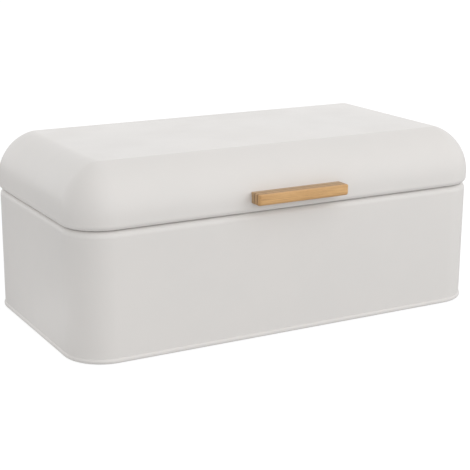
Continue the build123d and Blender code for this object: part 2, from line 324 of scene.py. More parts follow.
class ToneDrift(Effect):
    """Slow, faint change of tone over a coated or natural surface."""

    title = "Tone drift"
    inputs = (
        SocketPlan("Place", "NodeSocketVector"),
        SocketPlan("Scale", value=10.0),
        SocketPlan("Base tone", "NodeSocketColor"),
        SocketPlan("Far tone", "NodeSocketColor"),
        SocketPlan("Amount", value=0.5),
    )
    outputs = (SocketPlan("Tone", "NodeSocketColor"),)
    finer_factor = 7.3
    broad_share, finer_share = 0.7, 0.3
    base_below, far_above = 0.36, 0.64

    def draw(self, bench: NodeBench, given: bpy.types.Node, result: bpy.types.Node) -> None:
        """Mix the two tones by a broad noise and a finer one.

        Args:
            bench: helper on the group's tree.
            given: the group's input node.
            result: the group's output node.
        """
        broad = bench.noise(given.outputs["Place"], given.outputs["Scale"], 2.0)
        finer_scale = bench.maths("MULTIPLY", given.outputs["Scale"], self.finer_factor)
        finer = bench.noise(given.outputs["Place"], finer_scale, 3.0)
        both = bench.maths("ADD", bench.maths("MULTIPLY", broad, self.broad_share),
                           bench.maths("MULTIPLY", finer, self.finer_share))
        mask = bench.ramp(both, self.base_below, self.far_above)
        share = bench.maths("MULTIPLY", mask, given.outputs["Amount"])
        tone = bench.mix(share, given.outputs["Base tone"], given.outputs["Far tone"])
        bench.feed(result, "Tone", tone)


class OrangePeel(Effect):
    """Height of a baked coat or a moulded face: soft dimples with a fine grain."""

    title = "Orange peel"
    inputs = (
        SocketPlan("Place", "NodeSocketVector"),
        SocketPlan("Dimples", value=480.0),
        SocketPlan("Grain", value=2600.0),
        SocketPlan("Grain share", value=0.3),
    )
    outputs = (SocketPlan("Height"),)

    def draw(self, bench: NodeBench, given: bpy.types.Node, result: bpy.types.Node) -> None:
        """Add the fine grain to the dimples.

        Args:
            bench: helper on the group's tree.
            given: the group's input node.
            result: the group's output node.
        """
        dimples = bench.noise(given.outputs["Place"], given.outputs["Dimples"], 1.0)
        grain = bench.noise(given.outputs["Place"], given.outputs["Grain"], 2.0)
        height = bench.maths("ADD", dimples,
                             bench.maths("MULTIPLY", grain, given.outputs["Grain share"]))
        bench.feed(result, "Height", height)


class HandlingMarks(Effect):
    """Faint wiped and touched patches that make a surface a little smoother or duller."""

    title = "Handling marks"
    inputs = (
        SocketPlan("Place", "NodeSocketVector"),
        SocketPlan("Scale", value=22.0),
        SocketPlan("Smoothest", value=0.3),
        SocketPlan("Dullest", value=0.45),
    )
    outputs = (SocketPlan("Roughness"),)
    wipe = (1.0, 1.0, 1.7)
    smooth_below, dull_above = 0.34, 0.68

    def draw(self, bench: NodeBench, given: bpy.types.Node, result: bpy.types.Node) -> None:
        """Squeeze a noise in height so that the patches look wiped.

        Args:
            bench: helper on the group's tree.
            given: the group's input node.
            result: the group's output node.
        """
        wiped = bench.stretched(given.outputs["Place"], self.wipe)
        patches = bench.noise(wiped, given.outputs["Scale"], 4.0, 0.6)
        node = bench.add("ShaderNodeMapRange")
        bench.feed(node, "Value", bench.ramp(patches, self.smooth_below, self.dull_above))
        bench.feed(node, "To Min", given.outputs["Smoothest"])
        bench.feed(node, "To Max", given.outputs["Dullest"])
        bench.feed(result, "Roughness", node.outputs["Result"])


class EdgeMask(Effect):
    """Mask of the outward edges and folds, broken up by a noise."""

    title = "Edge mask"
    inputs = (
        SocketPlan("Place", "NodeSocketVector"),
        SocketPlan("Break up", value=180.0),
        SocketPlan("Start", value=0.52),
        SocketPlan("Full", value=0.60),
    )
    outputs = (SocketPlan("Mask"),)
    least_share = 0.4

    def draw(self, bench: NodeBench, given: bpy.types.Node, result: bpy.types.Node) -> None:
        """Read how far each spot stands out, and thin that with a noise.

        Args:
            bench: helper on the group's tree.
            given: the group's input node.
            result: the group's output node.
        """
        node = bench.add("ShaderNodeMapRange")
        bench.feed(node, "Value", bench.add("ShaderNodeNewGeometry").outputs["Pointiness"])
        bench.feed(node, "From Min", given.outputs["Start"])
        bench.feed(node, "From Max", given.outputs["Full"])
        broken = bench.noise(given.outputs["Place"], given.outputs["Break up"], 3.0)
        thinned = bench.ramp(broken, 0.3, 0.7, self.least_share, 1.0)
        bench.feed(result, "Mask", bench.maths("MULTIPLY", node.outputs["Result"], thinned))


class RubbedLines(Effect):
    """Fine parallel lines along one axis, as fibres, rolling or brushing give."""

    title = "Rubbed lines"
    inputs = (
        SocketPlan("Place", "NodeSocketVector"),
        SocketPlan("Stretch", "NodeSocketVector", (60.0, 3000.0, 3000.0)),
    )
    outputs = (SocketPlan("Height"), SocketPlan("Mask"))

    def draw(self, bench: NodeBench, given: bpy.types.Node, result: bpy.types.Node) -> None:
        """Draw a noise out along the lines.

        Args:
            bench: helper on the group's tree.
            given: the group's input node.
            result: the group's output node.
        """
        drawn = bench.stretched(given.outputs["Place"], given.outputs["Stretch"])
        lines = bench.noise(drawn, 1.0, 3.0, 0.6)
        bench.feed(result, "Height", lines)
        bench.feed(result, "Mask", bench.ramp(lines, 0.35, 0.65))


# --------------------------------------------------------------------------
# Finishes
# --------------------------------------------------------------------------


@dataclass(frozen=True)
class Finish:
    """Base of the finishes: makes the material once and hands it out."""

    title: str = "Finish"

    def material(self) -> bpy.types.Material:
        """Return the finish's material, building it once.

        Returns:
            The material.
        """
        made = bpy.data.materials.get(self.title)
        if made is not None:
            return made
        made = bpy.data.materials.new(self.title)
        made.use_nodes = True
        made.node_tree.nodes.clear()
        bench = NodeBench(made.node_tree)
        shader = bench.add("ShaderNodeBsdfPrincipled")
        output = bench.add("ShaderNodeOutputMaterial")
        bench.feed(output, "Surface", shader.outputs[0])
        self.dress(bench, shader)
        return made

    def dress(self, bench: NodeBench, shader: bpy.types.Node) -> None:
        """Set up the shader.

        Args:
            bench: helper on the material's tree.
            shader: the Principled node.
        """
        raise NotImplementedError

    @staticmethod
    def raise_bump(bench: NodeBench, shader: bpy.types.Node, height: object,
                   depth: float) -> None:
        """Feed a height into the shader's normal.

        Args:
            bench: helper on the material's tree.
            shader: the Principled node.
            height: socket of the height.
            depth: height of one unit, in metres.
        """
        bump = bench.add("ShaderNodeBump")
        bench.feed(bump, "Height", height)
        bench.feed(bump, "Distance", depth)
        bench.feed(bump, "Strength", 1.0)
        bench.feed(shader, "Normal", bump.outputs["Normal"])


@dataclass(frozen=True)
class PowderCoat(Finish):
    """Warm off-white satin coat on the pressed sheets."""

    title: str = "Powder coat"
    tone: Colour = (0.705, 0.682, 0.660)
    far_tone: Colour = (0.690, 0.670, 0.650)
    # Painted highlight: lighter, cooler tone laid on the convex folds and edges.
    fold_highlight_tone: Colour = (0.73, 0.715, 0.70)
    smoothest: float = 0.30
    dullest: float = 0.38
    fold_highlight_share: float = 0.35
    peel_depth: float = 0.012 * MM

    def dress(self, bench: NodeBench, shader: bpy.types.Node) -> None:
        """Drift of tone, a painted highlight on the convex folds, wiped patches and orange peel.

        Args:
            bench: helper on the material's tree.
            shader: the Principled node.
        """
        place = bench.place()
        drift = ToneDrift().use(bench, Place=place, Scale=7.0, Base_tone=self.tone,
                                Far_tone=self.far_tone, Amount=1.0)
        edges = EdgeMask().use(bench, Place=place, Break_up=140.0, Start=0.505, Full=0.56)
        # Painted highlight: the convex folds take the lighter tone.
        thin = bench.maths("MULTIPLY", edges.outputs["Mask"], self.fold_highlight_share)
        tone = bench.mix(thin, drift.outputs["Tone"], self.fold_highlight_tone)
        bench.feed(shader, "Base Color", tone)
        marks = HandlingMarks().use(bench, Place=place, Scale=16.0, Smoothest=self.smoothest,
                                    Dullest=self.dullest)
        bench.feed(shader, "Roughness", marks.outputs["Roughness"])
        peel = OrangePeel().use(bench, Place=place, Dimples=420.0, Grain=2400.0, Grain_share=0.25)
        self.raise_bump(bench, shader, peel.outputs["Height"], self.peel_depth)


@dataclass(frozen=True)
class Bamboo(Finish):
    """One glued strip of oiled bamboo, its fibres along X."""

    title: str = "Bamboo strip"
    light: Colour = (0.70, 0.43, 0.19)
    dark: Colour = (0.50, 0.275, 0.105)
    vein: Colour = (0.27, 0.13, 0.05)
    glue: Colour = (0.20, 0.105, 0.045)
    glue_at: tuple[float, float] = (0.0, 0.0)
    glue_core: float = 0.25 * MM
    glue_reach: float = 1.1 * MM
    glue_share: float = 0.85
    underside: float = 0.0
    # Painted shade: the lowest few millimetres of the bar are darkened towards its underside.
    underside_shade_full: float = 0.9 * MM
    underside_shade_reach: float = 3.6 * MM
    underside_shade_share: float = 0.62
    offset: float = 0.0
    offset_way: Axes = (1.0, 0.37, 0.61)
    fibre_share: float = 0.45
    vein_share: float = 0.7
    arris_share: float = 0.7
    joint_at: float = 0.03
    joint_wander: float = 3.0 * MM
    joint_core: float = 0.2 * MM
    joint_reach: float = 2.2 * MM
    joint_share: float = 0.4
    smoothest: float = 0.36
    dullest: float = 0.52
    grain_depth: float = 0.06 * MM

    def fibre_tone(self, bench: NodeBench, place: bpy.types.NodeSocket) -> bpy.types.NodeSocket:
        """Broad bands, fibres and dark veins along the strip.

        Args:
            bench: helper on the material's tree.
            place: shifted coordinates of the strip.

        Returns:
            The colour's socket.
        """
        fibres = RubbedLines().use(bench, Place=place, Stretch=(14.0, 1500.0, 1500.0))
        veins = RubbedLines().use(bench, Place=place, Stretch=(45.0, 2600.0, 2600.0))
        broad = ToneDrift().use(bench, Place=bench.stretched(place, (0.25, 1.6, 1.6)), Scale=90.0,
                                Base_tone=self.light, Far_tone=self.dark, Amount=0.5)
        streaked = bench.mix(bench.maths("MULTIPLY", fibres.outputs["Mask"], self.fibre_share),
                             broad.outputs["Tone"], self.dark)
        sharp = bench.ramp(veins.outputs["Height"], 0.55, 0.70)
        return bench.mix(bench.maths("MULTIPLY", sharp, self.vein_share), streaked, self.vein)

    def glue_mask(self, bench: NodeBench, across: bpy.types.NodeSocket) -> bpy.types.NodeSocket:
        """Mask of the dark lines where the strips are glued.

        Args:
            bench: helper on the material's tree.
            across: place from front to back.

        Returns:
            The mask's socket.
        """
        mask: object = 0.0
        for plane in self.glue_at:
            line = bench.ramp(bench.apart(across, plane), self.glue_core, self.glue_reach,
                              self.glue_share, 0.0)
            mask = bench.maths("MAXIMUM", line, mask)
        return mask

    def joint_mask(self, bench: NodeBench, place: bpy.types.NodeSocket,
                   along: bpy.types.NodeSocket) -> bpy.types.NodeSocket:
        """Mask of the dark ring that the cane grew across the strip.

        Args:
            bench: helper on the material's tree.
            place: shifted coordinates of the strip.
            along: place from left to right.

        Returns:
            The mask's socket.
        """
        wander = bench.maths("MULTIPLY", bench.noise(place, 300.0, 1.0), self.joint_wander)
        distance = bench.apart(bench.maths("ADD", along, wander), self.joint_at)
        return bench.ramp(distance, self.joint_core, self.joint_reach, self.joint_share, 0.0)

    def dress(self, bench: NodeBench, shader: bpy.types.Node) -> None:
        """Fibres and veins, a grown joint, glue lines, darker arrises, painted shade along the
        underside and a grained height.

        Args:
            bench: helper on the material's tree.
            shader: the Principled node.
        """
        shift = bench.add("ShaderNodeVectorMath", operation="ADD")
        bench.feed(shift, 0, bench.place())
        bench.feed(shift, 1, tuple(self.offset * share for share in self.offset_way))
        place = shift.outputs[0]
        axes = bench.split(bench.place()).outputs
        tone = bench.mix(self.joint_mask(bench, place, axes["X"]), self.fibre_tone(bench, place),
                         self.vein)
        edges = EdgeMask().use(bench, Place=place, Break_up=500.0, Start=0.505, Full=0.57)
        worn = bench.maths("MULTIPLY", edges.outputs["Mask"], self.arris_share)
        tone = bench.mix(worn, tone, self.dark)
        tone = bench.mix(self.glue_mask(bench, axes["Y"]), tone, self.glue)
        # Painted shade under the bar: darker towards the underside, where the rounded bottom edge is
        # in shadow.
        underside_shade = bench.ramp(axes["Z"], self.underside + self.underside_shade_full,
                             self.underside + self.underside_shade_reach, self.underside_shade_share, 0.0)
        bench.feed(shader, "Base Color", bench.mix(underside_shade, tone, self.dark))
        fine = RubbedLines().use(bench, Place=place, Stretch=(30.0, 2200.0, 2200.0))
        rough = bench.ramp(fine.outputs["Height"], 0.3, 0.7, self.smoothest, self.dullest)
        bench.feed(shader, "Roughness", rough)
        self.raise_bump(bench, shader, fine.outputs["Height"], self.grain_depth)


@dataclass(frozen=True)
class PlatedSteel(Finish):
    """Zinc-plated steel with rolling lines and a faint bloom."""

    title: str = "Zinc-plated steel"
    tone: Colour = (0.62, 0.62, 0.60)
    bloom: Colour = (0.50, 0.51, 0.52)
    bare: Colour = (0.78, 0.78, 0.77)
    stretch: Axes = (60.0, 3200.0, 2600.0)
    smoothest: float = 0.26
    dullest: float = 0.42
    bare_share: float = 0.6
    line_dullness: float = 0.06
    line_depth: float = 0.006 * MM

    def dress(self, bench: NodeBench, shader: bpy.types.Node) -> None:
        """Rolling lines in the roughness and the height, bloom in the tone.

        Args:
            bench: helper on the material's tree.
            shader: the Principled node.
        """
        place = bench.place()
        drift = ToneDrift().use(bench, Place=place, Scale=160.0, Base_tone=self.tone,
                                Far_tone=self.bloom, Amount=0.7)
        edges = EdgeMask().use(bench, Place=place, Break_up=700.0, Start=0.51, Full=0.58)
        tone = bench.mix(bench.maths("MULTIPLY", edges.outputs["Mask"], self.bare_share),
                         drift.outputs["Tone"], self.bare)
        bench.feed(shader, "Base Color", tone)
        bench.feed(shader, "Metallic", 1.0)
        lines = RubbedLines().use(bench, Place=place, Stretch=self.stretch)
        marks = HandlingMarks().use(bench, Place=place, Scale=120.0, Smoothest=self.smoothest,
                                    Dullest=self.dullest)
        rough = bench.maths("ADD", marks.outputs["Roughness"],
                            bench.maths("MULTIPLY", lines.outputs["Mask"], self.line_dullness))
        bench.feed(shader, "Roughness", rough)
        self.raise_bump(bench, shader, lines.outputs["Height"], self.line_depth)


@dataclass(frozen=True)
class MouldedSoft(Finish):
    """Rubber, silicone or pressed fibre: one matt tone with grain and rubbed spots."""

    title: str = "Moulded rubber"
    tone: Colour = (0.035, 0.035, 0.036)
    far_tone: Colour = (0.06, 0.058, 0.055)
    smoothest: float = 0.62
    dullest: float = 0.82
    grain: float = 1400.0
    grain_depth: float = 0.03 * MM

    def dress(self, bench: NodeBench, shader: bpy.types.Node) -> None:
        """Grain in the height, dust in the tone.

        Args:
            bench: helper on the material's tree.
            shader: the Principled node.
        """
        place = bench.place()
        drift = ToneDrift().use(bench, Place=place, Scale=220.0, Base_tone=self.tone,
                                Far_tone=self.far_tone, Amount=1.0)
        bench.feed(shader, "Base Color", drift.outputs["Tone"])
        marks = HandlingMarks().use(bench, Place=place, Scale=300.0, Smoothest=self.smoothest,
                                    Dullest=self.dullest)
        bench.feed(shader, "Roughness", marks.outputs["Roughness"])
        peel = OrangePeel().use(bench, Place=place, Dimples=self.grain, Grain=4 * self.grain,
                                Grain_share=0.4)
        self.raise_bump(bench, shader, peel.outputs["Height"], self.grain_depth)


class Pool(NamedTuple):
    """A glowing patch painted on the floor, seen only by bounced light, that lights the bin from
    below.
    """

    place: Axes
    reach: float
    glow: float


@dataclass(frozen=True)
class StudioPaper(Finish):
    """Pale paper of the studio floor, which glows a little and so stays clean and white."""

    title: str = "Studio floor"
    tone: Colour = (0.22, 0.22, 0.22)
    far_tone: Colour = (0.20, 0.20, 0.20)
    glow: float = 0.86
    bounce: float = 0.40
    # Painted glowing pools: brighter floor glow, seen only by bounced light, lighting the bin from
    # below at its left and front right.
    pools: tuple[Pool, ...] = (
        Pool((-0.32, 0.0, 0.0), reach=0.16, glow=0.42),
        Pool((0.50, -0.50, 0.0), reach=0.40, glow=0.40),
    )

    def dress(self, bench: NodeBench, shader: bpy.types.Node) -> None:
        """Matt paper with a faint tone drift, a clean white look and a weaker glow for bounced
        light, brighter in painted glowing pools.

        Args:
            bench: helper on the material's tree.
            shader: the Principled node.
        """
        place = bench.place()
        drift = ToneDrift().use(bench, Place=place, Scale=3.0, Base_tone=self.tone,
                                Far_tone=self.far_tone, Amount=1.0)
        bench.feed(shader, "Base Color", drift.outputs["Tone"])
        bench.feed(shader, "Roughness", 0.9)
        bench.feed(shader, "Specular IOR Level", 0.0)
        bench.feed(shader, "Emission Color", (1.0, 1.0, 1.0))
        bounce: object = self.bounce
        # Painted glow: raise the floor's glow for bounced light inside each pool.
        for pool in self.pools:
            distance = bench.add("ShaderNodeVectorMath", operation="DISTANCE")
            bench.feed(distance, 0, place)
            bench.feed(distance, 1, pool.place)
            bounce = bench.maths("ADD", bench.ramp(distance.outputs["Value"], 0.0, pool.reach,
                                                   pool.glow, 0.0), bounce)
        seen = bench.add("ShaderNodeLightPath").outputs["Is Camera Ray"]
        bench.feed(shader, "Emission Strength",
                   bench.mix(seen, bounce, self.glow, MixKind.NUMBER))


# --------------------------------------------------------------------------
# Mesh helpers
# --------------------------------------------------------------------------


def arc_points(middle: Point, radius: float, start: float, end: float, steps: int) -> list[Point]:
    """Points on an arc, both ends included.

    Args:
        middle: centre of the arc.
        radius: radius of the arc.
        start: first angle, in degrees.
        end: last angle, in degrees.
        steps: number of pieces the arc is cut into.

    Returns:
        The points in order.
    """
    turns = [math.radians(start + (end - start) * step / steps) for step in range(steps + 1)]
    return [(middle[0] + radius * math.cos(t), middle[1] + radius * math.sin(t)) for t in turns]


def line_points(start: Point, end: Point, steps: int) -> list[Point]:
    """Points along a line without its two ends.

    Args:
        start: first end.
        end: second end.
        steps: number of pieces the line is cut into.

    Returns:
        The points between the ends.
    """
    shares = [step / steps for step in range(1, steps)]
    return [(start[0] + (end[0] - start[0]) * s, start[1] + (end[1] - start[1]) * s)
            for s in shares]


def add_piece(name: str, mesh: bmesh.types.BMesh, finish: Finish, body: Body,
              stands_for: Iterable[str] = (), sharp_above: float = 32.0) -> bpy.types.Object:
    """Turn a mesh into a dressed piece that rides on its body.

    Args:
        name: name of the piece.
        mesh: its mesh, which is freed.
        finish: finish to dress it in.
        body: body it rides on.
        stands_for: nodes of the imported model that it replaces.
        sharp_above: edges that turn by more than this many degrees stay crisp.

    Returns:
        The new object.
    """
    bmesh.ops.recalc_face_normals(mesh, faces=mesh.faces)
    limit = math.radians(sharp_above)
    for face in mesh.faces:
        face.smooth = True
    for edge in mesh.edges:
        edge.smooth = len(edge.link_faces) != 2 or edge.calc_face_angle(0.0) < limit
    data = bpy.data.meshes.new(name)
    mesh.to_mesh(data)
    mesh.free()
    piece = bpy.data.objects.new(name, data)
    bpy.context.scene.collection.objects.link(piece)
    data.materials.append(finish.material())
    nodes = list(stands_for)
    if nodes:
        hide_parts(*nodes)
    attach(piece, body.value)
    LOG.info("%s: %d faces on %s", name, len(data.polygons), body.value)
    return piece


class Station(NamedTuple):
    """One place on the way round the plan."""

    x: float
    y: float
    out_x: float
    out_y: float

    def spot(self, outward: float, height: float) -> Vector:
        """Point at a distance outward from the corner's middle, at a height."""
        return Vector((self.x + self.out_x * outward, self.y + self.out_y * outward, height))


Section = Callable[[Station], list[Point]]


@dataclass(frozen=True)
class Plan:
    """Rounded-rectangle plan that every pressed sheet follows."""

    run_x: float
    run_y: float
    middle_y: float
    bend_steps: int = 20
    run_x_steps: int = 40
    run_y_steps: int = 18

    def stations(self) -> list[Station]:
        """Stations counter-clockwise, each corner first and then the run after it.

        Returns:
            The stations in order.
        """
        found: list[Station] = []
        corners = ((1, 1), (-1, 1), (-1, -1), (1, -1))
        steps = (self.run_x_steps, self.run_y_steps) * 2
        for turn, (side_x, side_y) in enumerate(corners):
            x = side_x * self.run_x / 2
            y = self.middle_y + side_y * self.run_y / 2
            for step in range(self.bend_steps + 1):
                angle = math.radians(90 * turn + 90 * step / self.bend_steps)
                found.append(Station(x, y, math.cos(angle), math.sin(angle)))
            next_x, next_y = corners[(turn + 1) % 4]
            to_x = next_x * self.run_x / 2
            to_y = self.middle_y + next_y * self.run_y / 2
            last = found[-1]
            for step in range(1, steps[turn]):
                share = step / steps[turn]
                found.append(Station(x + (to_x - x) * share, y + (to_y - y) * share,
                                     last.out_x, last.out_y))
        return found

    def sides(self, loop: Sequence[bmesh.types.BMVert]) -> list[list[bmesh.types.BMVert]]:
        """Cut a loop of vertices into four sides at the middles of the corners.

        Args:
            loop: one vertex per station.

        Returns:
            The four sides, each with both of its ends.
        """
        counts = [self.bend_steps + self.run_x_steps, self.bend_steps + self.run_y_steps] * 2
        start = self.bend_steps // 2
        found = []
        for count in counts:
            found.append([loop[(start + step) % len(loop)] for step in range(count + 1)])
            start += count
        return found


class SheetMesh:
    """Builds one pressed sheet by carrying its section round the plan."""

    crown_along = 8
    crown_across = 4
    seed_way: Axes = (1.0, 0.7, 1.3)

    def __init__(self, plan: Plan) -> None:
        """Start an empty mesh.

        Args:
            plan: plan the sheet follows.
        """
        self.plan = plan
        self.mesh = bmesh.new()

    def skin(self, section: Section, closed: bool) -> list[list[bmesh.types.BMVert]]:
        """Carry a section round the plan.

        Args:
            section: gives the outline at a station, as (outward, height) points.
            closed: whether the outline's end joins its start.

        Returns:
            One loop of vertices per point of the outline.
        """
        columns = [[self.mesh.verts.new(station.spot(*point)) for point in section(station)]
                   for station in self.plan.stations()]
        rows = len(columns[0])
        last = rows if closed else rows - 1
        for index, column in enumerate(columns):
            following = columns[(index + 1) % len(columns)]
            for row in range(last):
                above = (row + 1) % rows
                self.mesh.faces.new((column[row], following[row], following[above],
                                     column[above]))
        return [[column[row] for column in columns] for row in range(rows)]

    def patch(self, loop: Sequence[bmesh.types.BMVert], crown: float = 0.0) -> None:
        """Fill a loop with an even grid of quads.

        Args:
            loop: one vertex per station.
            crown: how far the middle stands above the loop.
        """
        first, second, third, fourth = self.plan.sides(loop)
        wide, deep = len(first) - 1, len(second) - 1
        low = Vector([min(vertex.co[axis] for vertex in loop) for axis in range(3)])
        high = Vector([max(vertex.co[axis] for vertex in loop) for axis in range(3)])
        middle, half = (low + high) / 2, (high - low) / 2
        grid: list[list[bmesh.types.BMVert]] = []
        for i in range(wide + 1):
            column = []
            for j in range(deep + 1):
                if j == 0:
                    column.append(first[i])
                elif j == deep:
                    column.append(third[wide - i])
                elif i == 0:
                    column.append(fourth[deep - j])
                elif i == wide:
                    column.append(second[j])
                else:
                    spot = self.between(first, second, third, fourth, i / wide, j / deep)
                    along = (spot.x - middle.x) / half.x
                    across = (spot.y - middle.y) / half.y
                    spot.z += crown * (1 - along**self.crown_along) * (1 - across**self.crown_across)
                    column.append(self.mesh.verts.new(spot))
            grid.append(column)
        for i in range(wide):
            for j in range(deep):
                self.mesh.faces.new((grid[i][j], grid[i + 1][j], grid[i + 1][j + 1],
                                     grid[i][j + 1]))

    @staticmethod
    def between(first: Sequence[bmesh.types.BMVert], second: Sequence[bmesh.types.BMVert],
                third: Sequence[bmesh.types.BMVert], fourth: Sequence[bmesh.types.BMVert],
                s: float, t: float) -> Vector:
        """Point inside four sides, blended from all of them.

        Args:
            first: side where t is 0, along s.
            second: side where s is 1, along t.
            third: side where t is 1, against s.
            fourth: side where s is 0, against t.
            s: share of the way along the first side.
            t: share of the way along the second side.

        Returns:
            The point.
        """
        wide, deep = len(first) - 1, len(second) - 1
        i, j = round(s * wide), round(t * deep)
        rails = first[i].co * (1 - t) + third[wide - i].co * t
        rungs = fourth[deep - j].co * (1 - s) + second[j].co * s
        corners = (first[0].co * (1 - s) * (1 - t) + first[-1].co * s * (1 - t)
                   + third[0].co * s * t + third[-1].co * (1 - s) * t)
        return rails + rungs - corners

    def ripple(self, depth: float, length: float, seed: float) -> None:
        """Move the sheet in and out a little, as thin steel lies.

        Args:
            depth: largest move.
            length: length of one wave.
            seed: shift of the pattern.
        """
        self.mesh.normal_update()
        shift = Vector([seed * share for share in self.seed_way])
        moves = []
        for vertex in self.mesh.verts:
            spot = vertex.co / length + shift
            moves.append(vertex.normal * (depth * noise.noise(spot)))
        for vertex, move in zip(self.mesh.verts, moves):
            vertex.co += move


def stacked_mesh(outlines: Iterable[Sequence[Vector]]) -> bmesh.types.BMesh:
    """Join outlines of equally many points, each above the last, and close both ends.

    Args:
        outlines: the outlines, from the lowest up.

    Returns:
        The new mesh.
    """
    mesh = bmesh.new()
    rings = [[mesh.verts.new(point) for point in outline] for outline in outlines]
    for below, above in zip(rings, rings[1:]):
        for index in range(len(below)):
            after = (index + 1) % len(below)
            mesh.faces.new((below[index], below[after], above[after], above[index]))
    mesh.faces.new(rings[0][::-1])
    mesh.faces.new(rings[-1])
    return mesh


def turned_mesh(profile: Sequence[Point], steps: int) -> bmesh.types.BMesh:
    """Turn a profile round the Z axis.

    Args:
        profile: (radius, height) points; a radius of 0 closes an end.
        steps: number of pieces round the axis.

    Returns:
        The new mesh.
    """
    mesh = bmesh.new()
    rings = []
    for radius, height in profile:
        if radius == 0.0:
            rings.append([mesh.verts.new((0.0, 0.0, height))])
            continue
        turns = [2 * math.pi * step / steps for step in range(steps)]
        rings.append([mesh.verts.new((radius * math.cos(t), radius * math.sin(t), height))
                      for t in turns])
    for low, high in zip(rings, rings[1:]):
        for step in range(steps):
            after = (step + 1) % steps
            corners = [low[step % len(low)], low[after % len(low)],
                       high[after % len(high)], high[step % len(high)]]
            mesh.faces.new(list(dict.fromkeys(corners)))
    return mesh


def merged(meshes: Iterable[tuple[bmesh.types.BMesh, Matrix]]) -> bmesh.types.BMesh:
    """Put placed copies of meshes into one mesh.

    Args:
        meshes: meshes with the place of each copy.

    Returns:
        The joined mesh.
    """
    joined = bmesh.new()
    for mesh, place in meshes:
        data = bpy.data.meshes.new("part")
        mesh.to_mesh(data)
        data.transform(place)
        joined.from_mesh(data)
        bpy.data.meshes.remove(data)
    return joined


def dress_node(node: bpy.types.Object, finish: Finish, rounding: float) -> None:
    """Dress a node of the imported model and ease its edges.

    Args:
        node: the node's object.
        finish: finish to dress it in.
        rounding: width of the eased edges.
    """
    node.data.materials.clear()
    node.data.materials.append(finish.material())
    weld = node.modifiers.new("Weld", "WELD")
    weld.merge_threshold = WELD_WITHIN
    ease = node.modifiers.new("Eased edges", "BEVEL")
    ease.width = rounding
    ease.segments = EASE_SEGMENTS
    ease.limit_method = "ANGLE"
    ease.angle_limit = math.radians(EASE_ABOVE)
    ease.harden_normals = False
    LOG.info("%s: dressed in %s", node.name, finish.title)


# --------------------------------------------------------------------------
# Sub-assemblies
# --------------------------------------------------------------------------


@dataclass(frozen=True)
class Foot:
    """Sizes of one moulded foot: a disc with a round tread and a dished underside."""

    radius: float = 7.0 * MM
    bevel: float = 0.4 * MM
    side_low: float = 1.4 * MM
    tread_step: float = 0.2 * MM
    tread_round: float = 1.0 * MM
    tread_inset: float = 2.6 * MM
    dish_inset: float = 3.4 * MM
    dish_edge: float = 0.5 * MM
    dish_middle: float = 0.8 * MM
    turn_steps: int = 36

    def profile(self, height: float) -> list[Point]:
        """Half outline of the foot, from the top's middle down to the dish's middle.

        Args:
            height: height of the foot.

        Returns:
            The (radius, height) points.
        """
        round_at = (self.radius - self.tread_step - self.tread_round, self.tread_round)
        return [
            (0.0, height),
            (self.radius - self.bevel, height),
            (self.radius, height - self.bevel),
            (self.radius, self.side_low),
            *arc_points(round_at, self.tread_round, 0, -90, 5),
            (self.radius - self.tread_inset, 0.0),
            (self.radius - self.dish_inset, self.dish_edge),
            (0.0, self.dish_middle),
        ]


